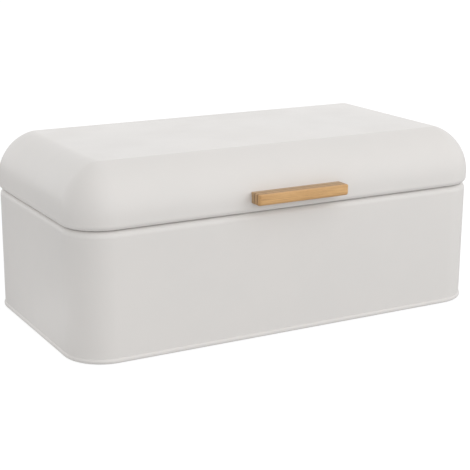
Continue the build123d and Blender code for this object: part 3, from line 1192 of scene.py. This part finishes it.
@dataclass
class Tub:
    """Steel tub: wall, collar, floor, foot rim, seam cleat, feet and rest pads."""

    nodes: Nodes
    corner: float = 36.0 * MM
    sheet: float = 0.6 * MM
    shoulder: float = 6.4 * MM
    collar_inset: float = 6.0 * MM
    rim_proud: float = 1.0 * MM
    rim_roll: float = 2.5 * MM
    rim_sheet: float = 0.8 * MM
    floor_bend: float = 2.0 * MM
    floor_raise: float = 1.2 * MM
    floor_margin: float = 22.0 * MM
    floor_slope: float = 3.0 * MM
    bead: float = 1.2 * MM
    weld_height: float = 10.0 * MM
    step_height: float = 6.0 * MM
    step_drop: float = 5.5 * MM
    ripple_depth: float = 0.10 * MM
    ripple_length: float = 110.0 * MM
    ripple_seed: float = 3.1
    press_easing: float = 1.0 * MM
    press_sag: float = 0.05 * MM
    floor_patch_margin: float = 0.5 * MM
    rim_grip_height: float = 2.6 * MM
    rim_bevel: float = 0.3 * MM
    wall_clearance: float = 0.05 * MM
    cleat_fold: float = 0.55 * MM
    cleat_groove: float = 0.15 * MM
    groove_rim_share: float = 0.24
    groove_bed_share: float = 0.16
    cleat_steps: int = 24
    collar_slant: float = 0.55
    pad_ease: float = 0.15 * MM
    foot: Foot = field(default_factory=Foot)
    coat: PowderCoat = field(default_factory=PowderCoat)
    bottom: float = field(init=False)
    top: float = field(init=False)
    neck: float = field(init=False)
    plan: Plan = field(init=False)

    def __post_init__(self) -> None:
        """Read the tub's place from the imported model."""
        low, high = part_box("base_wall")
        self.bottom, self.top = low.z, high.z
        self.plan = Plan(high.x - low.x - 2 * self.corner, high.y - low.y - 2 * self.corner,
                         (low.y + high.y) / 2)
        self.neck = self.corner - self.collar_inset

    def add_sheet(self, name: str, sheet: SheetMesh, node: str) -> None:
        """Add a coated sheet that stands for one node.

        Args:
            name: name of the piece.
            sheet: its mesh.
            node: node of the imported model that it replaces.
        """
        add_piece(name, sheet.mesh, self.coat, Body.BASE, [node])

    def wall_section(self, station: Station) -> list[Point]:
        """Outline of the wall sheet, with its rolled shoulder.

        Args:
            station: place on the way round.

        Returns:
            The outline's (outward, height) points.
        """
        outer, inner = self.corner, self.corner - self.sheet
        bend_u, bend_z = outer - self.shoulder, self.top - self.shoulder
        tight = self.shoulder - self.sheet
        turn = math.degrees(math.acos((self.neck - bend_u) / self.shoulder))
        return [
            (outer, self.bottom),
            *line_points((outer, self.bottom), (outer, bend_z), 22),
            *arc_points((bend_u, bend_z), self.shoulder, 0, turn, 14),
            *arc_points((bend_u, bend_z), tight, turn, 0, 7),
            *line_points((inner, bend_z), (inner, self.bottom), 8),
            (inner, self.bottom),
        ]

    def build_wall(self) -> None:
        """Wall sheet, a little rippled as thin steel is."""
        sheet = SheetMesh(self.plan)
        sheet.skin(self.wall_section, closed=True)
        sheet.ripple(self.ripple_depth, self.ripple_length, self.ripple_seed)
        self.add_sheet("tub_wall", sheet, "base_wall")

    def collar_section(self, station: Station) -> list[Point]:
        """Outline of the stepped collar with its rolled bead.

        Args:
            station: place on the way round.

        Returns:
            The outline's (outward, height) points.
        """
        outer = self.corner - self.sheet
        _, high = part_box("neck_collar")
        step_top = self.top - self.step_drop
        step_low = step_top - self.step_height
        weld_low = step_low - self.weld_height
        slant = self.collar_slant * self.sheet
        bead_u, bead_z = self.neck - self.bead, high.z - self.bead
        bead = arc_points((bead_u, bead_z), self.bead, 0, 235, 16)
        return [
            (outer, weld_low),
            *line_points((outer, weld_low), (outer, step_low), 4),
            (outer, step_low),
            (self.neck, step_top),
            *line_points((self.neck, step_top), (self.neck, bead_z), 4),
            *bead,
            (self.neck - self.sheet, bead_z - self.bead),
            (self.neck - self.sheet, step_top - slant),
            (outer - self.sheet, step_low - slant),
            (outer - self.sheet, weld_low),
        ]

    def build_collar(self) -> None:
        """Collar that stands up inside the lid."""
        sheet = SheetMesh(self.plan)
        sheet.skin(self.collar_section, closed=True)
        self.add_sheet("tub_collar", sheet, "neck_collar")

    def floor_section(self, station: Station) -> list[Point]:
        """Upper and lower line of the floor, from the flange to the raised middle.

        Args:
            station: place on the way round.

        Returns:
            The outline's (outward, height) points.
        """
        low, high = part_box("bottom_panel")
        edge = self.corner - self.sheet
        top = high.z - self.floor_raise
        step_out = self.corner - self.floor_margin
        step_in = step_out - self.floor_slope
        bend = (edge - self.floor_bend, top - self.floor_bend)
        under = top - self.sheet
        raised = high.z - self.sheet
        easing, sag = self.press_easing, self.press_sag
        return [
            (self.floor_patch_margin, high.z),
            (step_in - easing, high.z),
            (step_in, high.z - sag),
            (step_out, top + sag),
            (step_out + easing, top),
            *arc_points(bend, self.floor_bend, 90, 0, 8),
            (edge, low.z),
            (edge - self.sheet, low.z),
            *arc_points(bend, self.floor_bend - self.sheet, 0, 90, 6),
            (step_out + easing, under),
            (step_out, under + sag),
            (step_in, raised - sag),
            (step_in - easing, raised),
            (self.floor_patch_margin, raised),
        ]

    def build_floor(self) -> None:
        """Pressed floor with its raised middle."""
        sheet = SheetMesh(self.plan)
        loops = sheet.skin(self.floor_section, closed=False)
        sheet.patch(loops[0])
        sheet.patch(loops[-1])
        self.add_sheet("tub_floor", sheet, "bottom_panel")

    def rim_section(self, station: Station) -> list[Point]:
        """Outline of the rolled rim: a round bead outside, closed under the wall.

        Args:
            station: place on the way round.

        Returns:
            The outline's (outward, height) points.
        """
        low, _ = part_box("bottom_rim")
        outer = self.corner + self.rim_proud
        inner_face = self.corner - 2 * self.sheet
        inner = inner_face - self.rim_sheet
        middle = (outer - self.rim_roll, low.z + self.rim_roll)
        tucked = self.corner - self.wall_clearance
        meets = math.degrees(math.acos((tucked - middle[0]) / self.rim_roll))
        return [
            *arc_points(middle, self.rim_roll, meets, -90, 20),
            (inner + self.rim_bevel, low.z),
            (inner, low.z + self.rim_bevel),
            (inner, low.z + self.rim_grip_height),
            (inner_face, low.z + self.rim_grip_height),
            (inner_face, low.z + self.rim_sheet),
            (tucked, low.z + self.rim_sheet),
        ]

    def build_rim(self) -> None:
        """Foot rim that grips the wall and the floor."""
        sheet = SheetMesh(self.plan)
        sheet.skin(self.rim_section, closed=True)
        self.add_sheet("foot_rim", sheet, "bottom_rim")

    def build_cleat(self) -> None:
        """Folded seam strip down the middle of the back."""
        low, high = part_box("wall_seam_cleat")
        fold, half, deep = self.cleat_fold, (high.x - low.x) / 2, high.y - low.y
        groove = deep - self.cleat_groove
        rim, bed = half * self.groove_rim_share, half * self.groove_bed_share
        outline = [
            (-half, 0.0),
            *arc_points((-half + fold, deep - fold), fold, 180, 90, 5),
            (-rim, deep),
            (-bed, groove),
            (bed, groove),
            (rim, deep),
            *arc_points((half - fold, deep - fold), fold, 90, 0, 5),
            (half, 0.0),
        ]
        levels = [low.z + (high.z - low.z) * step / self.cleat_steps
                  for step in range(self.cleat_steps + 1)]
        mesh = stacked_mesh([Vector((x, low.y + y, z)) for x, y in outline] for z in levels)
        add_piece("seam_cleat", mesh, self.coat, Body.BASE, ["wall_seam_cleat"])

    def build_feet(self) -> None:
        """Four moulded feet, dished underneath."""
        low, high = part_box("feet")
        radius = self.foot.radius
        profile = self.foot.profile(high.z - low.z)
        places = []
        for x in (low.x + radius, high.x - radius):
            for y in (low.y + radius, high.y - radius):
                places.append((turned_mesh(profile, self.foot.turn_steps),
                               Matrix.Translation((x, y, low.z))))
        add_piece("rubber_feet", merged(places), MouldedSoft(), Body.BASE, ["feet"])

    def dress_pads(self) -> None:
        """Give the rest pads their silicone."""
        silicone = MouldedSoft(title="Clear silicone", tone=(0.50, 0.49, 0.47),
                               far_tone=(0.44, 0.43, 0.42), smoothest=0.35, dullest=0.5,
                               grain=900.0, grain_depth=0.01 * MM)
        dress_node(self.nodes["lid_rest_pads"], silicone, self.pad_ease)

    def build(self) -> None:
        """Build every piece of the tub."""
        self.build_wall()
        self.build_collar()
        self.build_floor()
        self.build_rim()
        self.build_cleat()
        self.build_feet()
        self.dress_pads()


@dataclass
class Lid:
    """Pressed lid with a creased flat top, domed sides and a curled lip."""

    corner: float = 37.0 * MM
    sheet: float = 0.6 * MM
    lip_drop: float = 0.9 * MM
    end_lip_drop: float = 1.3 * MM
    lip_height: float = 4.9 * MM
    lip_tuck: float = 4.4 * MM
    flange_drop: float = 0.3 * MM
    flange_inset: float = 6.2 * MM
    flange_width: float = 1.0 * MM
    band_top_height: float = 8.6 * MM
    dome_share: float = 0.893
    front_softness: float = 5.5 * MM
    side_softness: float = 19.5 * MM
    pillow: float = 0.8 * MM
    patch_margin: float = 0.4 * MM
    ripple_depth: float = 0.08 * MM
    ripple_length: float = 120.0 * MM
    ripple_seed: float = 8.4
    crisp_above: float = 40.0
    coat: PowderCoat = field(default_factory=PowderCoat)
    bottom: float = field(init=False)
    top: float = field(init=False)
    lip_top: float = field(init=False)
    flange_low: float = field(init=False)
    band_top: float = field(init=False)
    dome: float = field(init=False)
    plan: Plan = field(init=False)

    def __post_init__(self) -> None:
        """Read the lid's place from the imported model."""
        low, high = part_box("lid_shell")
        self.bottom, self.top = low.z, high.z - self.pillow
        self.plan = Plan(high.x - low.x - 2 * self.corner, high.y - low.y - 2 * self.corner,
                         (low.y + high.y) / 2)
        self.lip_top = self.bottom - self.lip_drop + self.lip_height
        self.flange_low = self.bottom - self.flange_drop
        self.band_top = low.z + self.band_top_height
        rise = self.top - self.band_top
        inset = self.dome_share * self.corner
        self.dome = (rise**2 + inset**2) / (2 * inset)

    def half_section(self, station: Station, skin: float) -> list[Point]:
        """Line of one face of the sheet, from the lip's lower edge up to the flat top.

        Args:
            station: place on the way round.
            skin: depth below the outer face.

        Returns:
            The line's points.
        """
        sideways = station.out_x**2
        softness = self.front_softness + (self.side_softness - self.front_softness) * sideways
        softness -= skin
        face, dome = self.corner - skin, self.dome - skin
        middle = self.corner - self.dome
        top = self.top - skin
        rise = top - softness - self.band_top
        fold_u = middle + math.sqrt((dome - softness)**2 - rise**2)
        fold_turn = math.degrees(math.atan2(rise, fold_u - middle))
        drop = self.lip_drop + (self.end_lip_drop - self.lip_drop) * sideways
        height = self.lip_top - self.bottom + drop
        lip_arc = (height**2 + self.lip_tuck**2) / (2 * self.lip_tuck)
        if skin > 0.0:
            height = self.lip_top - self.flange_low - self.sheet
        lip_turn = math.degrees(math.asin(min(height / (lip_arc - skin), 1.0)))
        return [
            *arc_points((self.corner - lip_arc, self.lip_top), lip_arc - skin, -lip_turn, 0, 12),
            *line_points((face, self.lip_top), (face, self.band_top), 3),
            *arc_points((middle, self.band_top), dome, 0, fold_turn, 34),
            *arc_points((fold_u, top - softness), softness, fold_turn, 90, 7)[1:],
            *line_points((fold_u, top), (self.patch_margin, top), 2),
            (self.patch_margin, top),
        ]

    def section(self, station: Station) -> list[Point]:
        """Whole outline, from the top's inner face out, round the lip's edge and up again.

        Args:
            station: place on the way round.

        Returns:
            The outline's (outward, height) points.
        """
        outer = self.half_section(station, 0.0)
        inner = self.half_section(station, self.sheet)
        near = self.corner - self.flange_inset
        flange = [(near, self.flange_low + self.sheet), (near, self.flange_low),
                  (near + self.flange_width, self.flange_low)]
        return inner[::-1] + flange + outer

    def build(self) -> None:
        """Build the lid's skin."""
        sheet = SheetMesh(self.plan)
        loops = sheet.skin(self.section, closed=False)
        sheet.patch(loops[0], self.pillow)
        sheet.patch(loops[-1], self.pillow)
        sheet.ripple(self.ripple_depth, self.ripple_length, self.ripple_seed)
        add_piece("lid_skin", sheet.mesh, self.coat, Body.LID, ["lid_shell"],
                  sharp_above=self.crisp_above)


@dataclass
class BarHandle:
    """Bamboo bar of three glued strips, with its screws and washers."""

    nodes: Nodes
    corner_round: float = 1.9 * MM
    top_round: float = 0.9 * MM
    bottom_round: float = 2.8 * MM
    end_round: float = 0.9 * MM
    glue_groove: float = 0.10 * MM
    length_steps: int = 30
    corner_steps: int = 6
    bottom_steps: int = 8
    side_steps: int = 5
    top_steps: int = 5
    cutter_wave: float = 0.06 * MM
    waves_along: float = 90.0
    waves_up: float = 150.0
    wave_seed: float = 4.2
    fastening_ease: float = 0.12 * MM

    @staticmethod
    def inset(height: float, depth: float, low_round: float, high_round: float) -> float:
        """How far an edge rounding steps back at a height.

        Args:
            height: height above the bar's underside.
            depth: whole height of the bar.
            low_round: radius along the lower edge.
            high_round: radius along the upper edge.

        Returns:
            The step back from the face.
        """
        if height < low_round:
            return low_round - math.sqrt(low_round**2 - (low_round - height)**2)
        left = depth - height
        if left < high_round:
            return high_round - math.sqrt(high_round**2 - (high_round - left)**2)
        return 0.0

    def outline(self, low: Vector, high: Vector, height: float) -> list[Vector]:
        """Plan of the whole bar at a height, from back left round the front to back right.

        Args:
            low: lowest corner of the bar.
            high: highest corner of the bar.
            height: height above the underside.

        Returns:
            The points of the plan.
        """
        depth = high.z - low.z
        front = low.y + self.inset(height, depth, self.bottom_round, self.top_round)
        ends = self.inset(height, depth, self.end_round, self.end_round)
        left, right, z = low.x + ends, high.x - ends, low.z + height
        corner = self.corner_round
        points = [Vector((left, high.y, z)), Vector((left, (high.y + front) / 2, z))]
        points += [Vector((x, y, z)) for x, y in arc_points(
            (left + corner, front + corner), corner, 180, 270, self.corner_steps)]
        for x, y in line_points((left + corner, front), (right - corner, front),
                                self.length_steps):
            spot = Vector((x * self.waves_along, height * self.waves_up, self.wave_seed))
            wave = self.cutter_wave * noise.noise(spot)
            points.append(Vector((x, y + abs(wave), z)))
        points += [Vector((x, y, z)) for x, y in arc_points(
            (right - corner, front + corner), corner, 270, 360, self.corner_steps)]
        points += [Vector((right, (high.y + front) / 2, z)), Vector((right, high.y, z))]
        return points

    def whole(self, low: Vector, high: Vector) -> bmesh.types.BMesh:
        """The bar as one block, rounded over at the front and the ends.

        Args:
            low: lowest corner of the bar.
            high: highest corner of the bar.

        Returns:
            The bar's mesh.
        """
        depth = high.z - low.z
        side = depth - self.bottom_round - self.top_round
        heights = [self.bottom_round * (1 - math.cos(math.pi / 2 * step / self.bottom_steps))
                   for step in range(self.bottom_steps)]
        heights += [self.bottom_round + side * step / self.side_steps
                    for step in range(self.side_steps)]
        heights += [depth - self.top_round * (1 - math.sin(math.pi / 2 * step / self.top_steps))
                    for step in range(self.top_steps + 1)]
        return stacked_mesh(self.outline(low, high, height) for height in heights)

    def strip(self, node: str, low: Vector, high: Vector) -> bmesh.types.BMesh:
        """Cut one glued strip out of the whole bar.

        Args:
            node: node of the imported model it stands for.
            low: lowest corner of the bar.
            high: highest corner of the bar.

        Returns:
            The strip's mesh, its glued edges eased.
        """
        mesh = self.whole(low, high)
        near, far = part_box(node)
        close = 0.05 * MM
        cut_edges: list[bmesh.types.BMEdge] = []
        for y, away in ((near.y, -1.0), (far.y, 1.0)):
            if y < low.y + close or y > high.y - close:
                continue
            everything = [*mesh.verts, *mesh.edges, *mesh.faces]
            cut = bmesh.ops.bisect_plane(mesh, geom=everything, plane_co=(0.0, y, 0.0),
                                         plane_no=(0.0, away, 0.0), clear_outer=True)
            rim = [item for item in cut["geom_cut"] if isinstance(item, bmesh.types.BMEdge)]
            bmesh.ops.edgeloop_fill(mesh, edges=rim)
            cut_edges += rim
        bmesh.ops.recalc_face_normals(mesh, faces=mesh.faces)
        kept = [edge for edge in cut_edges if edge.is_valid]
        bmesh.ops.bevel(mesh, geom=kept, offset=self.glue_groove, segments=1, profile=0.5,
                        affect="EDGES")
        return mesh

    def build_strips(self) -> None:
        """Three strips, each with its own tone and grain."""
        names = ("front", "core", "back")
        boxes = [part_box(f"handle_{name}_strip") for name in names]
        low = Vector([min(box[0][axis] for box in boxes) for axis in range(3)])
        high = Vector([max(box[1][axis] for box in boxes) for axis in range(3)])
        glue = (boxes[0][1].y, boxes[1][1].y)
        bar = Bamboo(title="Bamboo front strip", glue_at=glue, underside=low.z, offset=0.013,
                     joint_at=0.060)
        finishes = (
            bar,
            replace(bar, title="Bamboo core strip", light=(0.66, 0.43, 0.22),
                    dark=(0.42, 0.25, 0.11), offset=0.171, joint_at=-0.035),
            replace(bar, title="Bamboo back strip", light=(0.62, 0.43, 0.24),
                    dark=(0.40, 0.25, 0.13), offset=0.377, joint_at=0.008),
        )
        for name, finish in zip(names, finishes):
            node = f"handle_{name}_strip"
            add_piece(f"bar_{name}_strip", self.strip(node, low, high), finish,
                      Body.LID, [node])

    def build(self) -> None:
        """Build the bar and dress its fastenings."""
        self.build_strips()
        dress_node(self.nodes["handle_screws"], PlatedSteel(title="Screw steel"),
                   self.fastening_ease)
        fibre = MouldedSoft(title="Vulcanised fibre", tone=(0.19, 0.07, 0.045),
                            far_tone=(0.25, 0.10, 0.06), smoothest=0.5, dullest=0.7)
        dress_node(self.nodes["handle_washers"], fibre, self.fastening_ease)


@dataclass
class Hinges:
    """Two knuckle hinges at the back, with pins and rivets."""

    nodes: Nodes
    ease: float = 0.14 * MM

    def build(self) -> None:
        """Dress the leaves, pins and rivets."""
        leaf = PlatedSteel(title="Hinge leaf steel")
        bright = PlatedSteel(title="Rivet steel", tone=(0.70, 0.70, 0.69),
                             stretch=(900.0, 900.0, 900.0), smoothest=0.2, dullest=0.34)
        for side in ("left", "right"):
            dress_node(self.nodes[f"base_hinge_leaf_{side}"], leaf, self.ease)
            dress_node(self.nodes[f"lid_hinge_leaf_{side}"], leaf, self.ease)
        for name in ("hinge_pins", "base_hinge_rivets", "lid_hinge_rivets"):
            dress_node(self.nodes[name], bright, self.ease)


# --------------------------------------------------------------------------
# Studio
# --------------------------------------------------------------------------


@dataclass(frozen=True)
class Glow:
    """One soft patch of brightness in the surround, dimmer where a glossy face mirrors it."""

    toward: Axes
    spread: float
    strength: float
    mirrored: float = 1.0


@dataclass(frozen=True)
class Softbox:
    """A rectangular soft light that shiny faces don't mirror."""

    name: str
    place: Axes
    aim: Axes
    width: float
    height: float
    power: float


@dataclass
class Studio:
    """Pale floor, soft lights, bright surround and the camera."""

    ambient: float = 0.785
    backdrop: float = 1.1
    glows: tuple[Glow, ...] = (
        Glow((0.00, -1.00, 0.10), 40.0, 0.62, mirrored=0.5),
        Glow((0.05, -0.75, 0.65), 45.0, 0.33),
        Glow((0.75, -0.75, 0.10), 40.0, 0.66, mirrored=0.5),
        Glow((0.60, -0.60, 0.60), 45.0, 0.08),
        Glow((0.48, 0.877, 0.30), 30.0, 0.30),
        Glow((-0.25, 0.95, 0.30), 30.0, 0.31),
        Glow((0.30, 0.70, 0.65), 45.0, 0.08),
        Glow((-0.60, 0.80, 0.10), 40.0, 0.34),
    )
    softboxes: tuple[Softbox, ...] = (
        Softbox("Key softbox", place=(1.25, -1.15, 1.1), aim=(0.0, 0.0, 0.10), width=0.9,
                height=0.9, power=3.6),
    )
    camera_place: Axes = (-0.56998, -1.01992, 0.38590)
    heading: float = 28.7126
    pitch: float = -15.9626
    roll: float = 0.2217
    sensor: float = 36.0
    lens: float = 94.802
    shift_x: float = 0.01675
    shift_y: float = 0.02986
    floor_reach: float = 30.0

    def build_floor(self) -> None:
        """Wide pale floor under the feet."""
        mesh = bmesh.new()
        bmesh.ops.create_grid(mesh, x_segments=2, y_segments=2, size=self.floor_reach)
        data = bpy.data.meshes.new("studio_floor")
        mesh.to_mesh(data)
        mesh.free()
        floor = bpy.data.objects.new("studio_floor", data)
        bpy.context.scene.collection.objects.link(floor)
        data.materials.append(StudioPaper().material())

    def build_surround(self) -> None:
        """World light: an even ambient with soft glows."""
        world = bpy.data.worlds.new("Studio surround")
        world.use_nodes = True
        world.node_tree.nodes.clear()
        bench = NodeBench(world.node_tree)
        background = bench.add("ShaderNodeBackground")
        output = bench.add("ShaderNodeOutputWorld")
        direction = bench.add("ShaderNodeTexCoord").outputs["Generated"]
        path = bench.add("ShaderNodeLightPath").outputs
        total: object = 0.0
        for glow in self.glows:
            dot = bench.add("ShaderNodeVectorMath", operation="DOT_PRODUCT")
            bench.feed(dot, 0, direction)
            bench.feed(dot, 1, tuple(Vector(glow.toward).normalized()))
            lobe = bench.ramp(dot.outputs["Value"], math.cos(math.radians(glow.spread)), 1.0,
                              0.0, glow.strength)
            dimmed = bench.mix(path["Is Glossy Ray"], lobe,
                               bench.maths("MULTIPLY", lobe, glow.mirrored), MixKind.NUMBER)
            total = bench.maths("ADD", dimmed, total)
        lit = bench.maths("ADD", total, self.ambient)
        bench.feed(background, "Strength",
                   bench.mix(path["Is Camera Ray"], lit, self.backdrop, MixKind.NUMBER))
        bench.feed(background, "Color", (1.0, 1.0, 1.0))
        bench.feed(output, "Surface", background.outputs[0])
        bpy.context.scene.world = world

    def build_softboxes(self) -> None:
        """Soft area lights."""
        for box in self.softboxes:
            light = bpy.data.lights.new(box.name, "AREA")
            light.shape = "RECTANGLE"
            light.size, light.size_y = box.width, box.height
            light.energy = box.power
            lamp = bpy.data.objects.new(box.name, light)
            lamp.location = box.place
            lamp.visible_glossy = False
            aim = Vector(box.aim) - Vector(box.place)
            lamp.rotation_euler = aim.to_track_quat("-Z", "Y").to_euler()
            bpy.context.scene.collection.objects.link(lamp)

    def build_camera(self) -> None:
        """Camera at the front left, a little above the lid."""
        data = bpy.data.cameras.new("Camera")
        data.sensor_width, data.lens = self.sensor, self.lens
        data.shift_x, data.shift_y = self.shift_x, self.shift_y
        data.clip_start, data.clip_end = 0.01, 100.0
        camera = bpy.data.objects.new("Camera", data)
        turn = Matrix.Rotation(math.radians(-self.heading), 4, "Z")
        tilt = Matrix.Rotation(math.radians(90.0 + self.pitch), 4, "X")
        lean = Matrix.Rotation(math.radians(self.roll), 4, "Z")
        camera.matrix_world = Matrix.Translation(self.camera_place) @ turn @ tilt @ lean
        bpy.context.scene.collection.objects.link(camera)
        bpy.context.scene.camera = camera

    def build(self) -> None:
        """Set up the whole studio."""
        self.build_floor()
        self.build_surround()
        self.build_softboxes()
        self.build_camera()
        view = bpy.context.scene.view_settings
        view.view_transform = "Standard"
        view.look = "None"
        view.exposure = 0.0
        view.gamma = 1.0


def main() -> None:
    """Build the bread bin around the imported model."""
    logging.basicConfig(level=logging.INFO, format="%(name)s %(message)s")
    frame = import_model()
    nodes: Nodes = frame["nodes"]
    Tub(nodes).build()
    Lid().build()
    BarHandle(nodes).build()
    Hinges(nodes).build()
    Studio().build()


if __name__ == "__main__":
    main()
